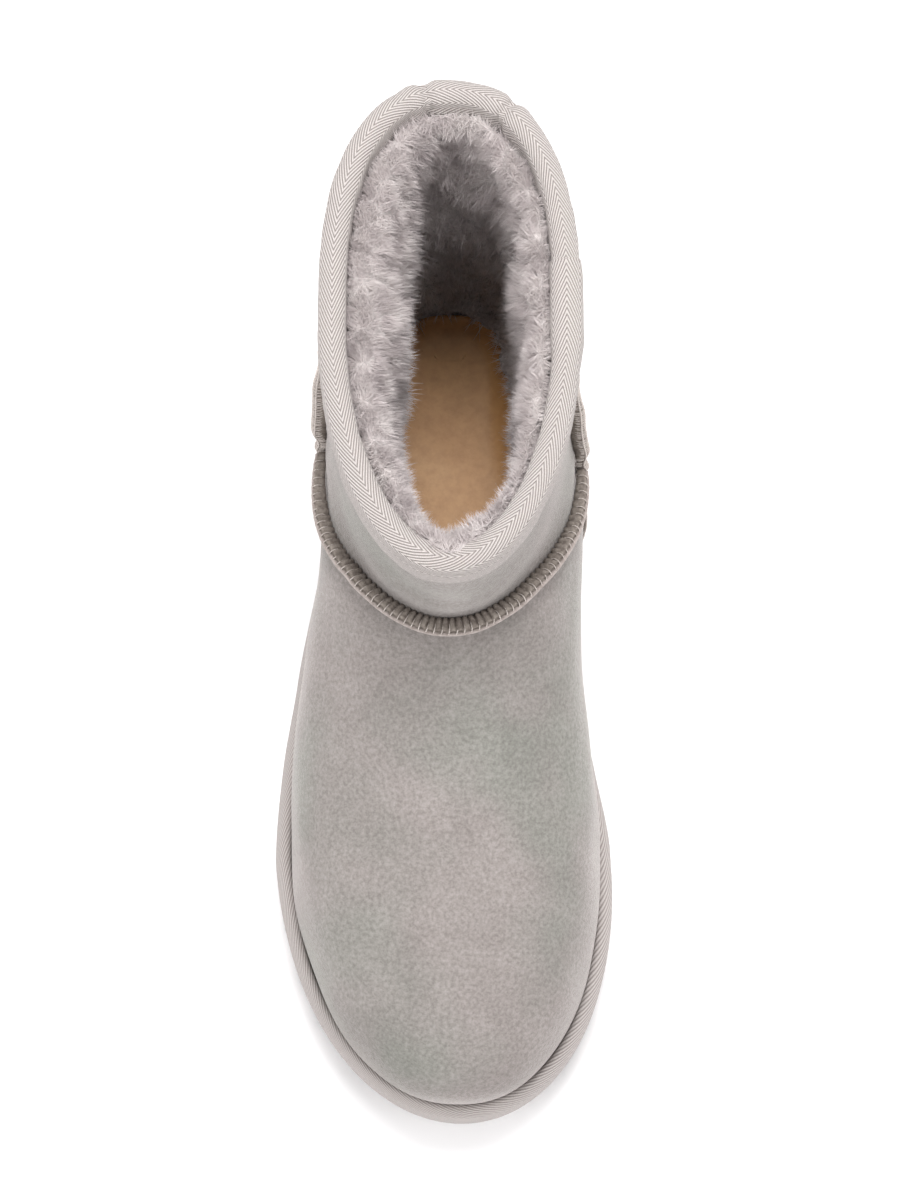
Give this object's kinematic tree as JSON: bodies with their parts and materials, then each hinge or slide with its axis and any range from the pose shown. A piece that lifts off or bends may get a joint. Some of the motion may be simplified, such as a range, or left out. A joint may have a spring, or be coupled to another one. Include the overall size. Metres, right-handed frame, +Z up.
{
  "type": "sheepskin boot",
  "caption": "Short grey sheepskin boot, right foot: hollow fleece-lined suede upper with raised overlocked seams, herringbone collar tape, twill-bound moulded sole and tan footbed.",
  "frame": {"origin": "on the ground, under the middle of the boot's bounding box", "axes": "+Y towards the heel, +X towards the inner (big toe) side, +Z up"},
  "size_m": [0.1013, 0.2752, 0.1504],
  "materials": {
    "sole_rubber": "matte moulded foam rubber",
    "twill_tape": "matte woven twill",
    "insole_leather": "smooth, low sheen",
    "suede": "napped suede, fleece inside",
    "seam_thread": "overlocked thread over suede",
    "herringbone_tape": "matte woven herringbone"
  },
  "bodies": {
    "root": {"outsole": "sole_rubber", "sole_binding": "twill_tape", "insole": "insole_leather", "upper": "suede", "vamp_seam": "seam_thread", "side_seam_lateral": "seam_thread", "side_seam_medial": "seam_thread", "collar_binding": "herringbone_tape"}
  },
  "joints": []
}
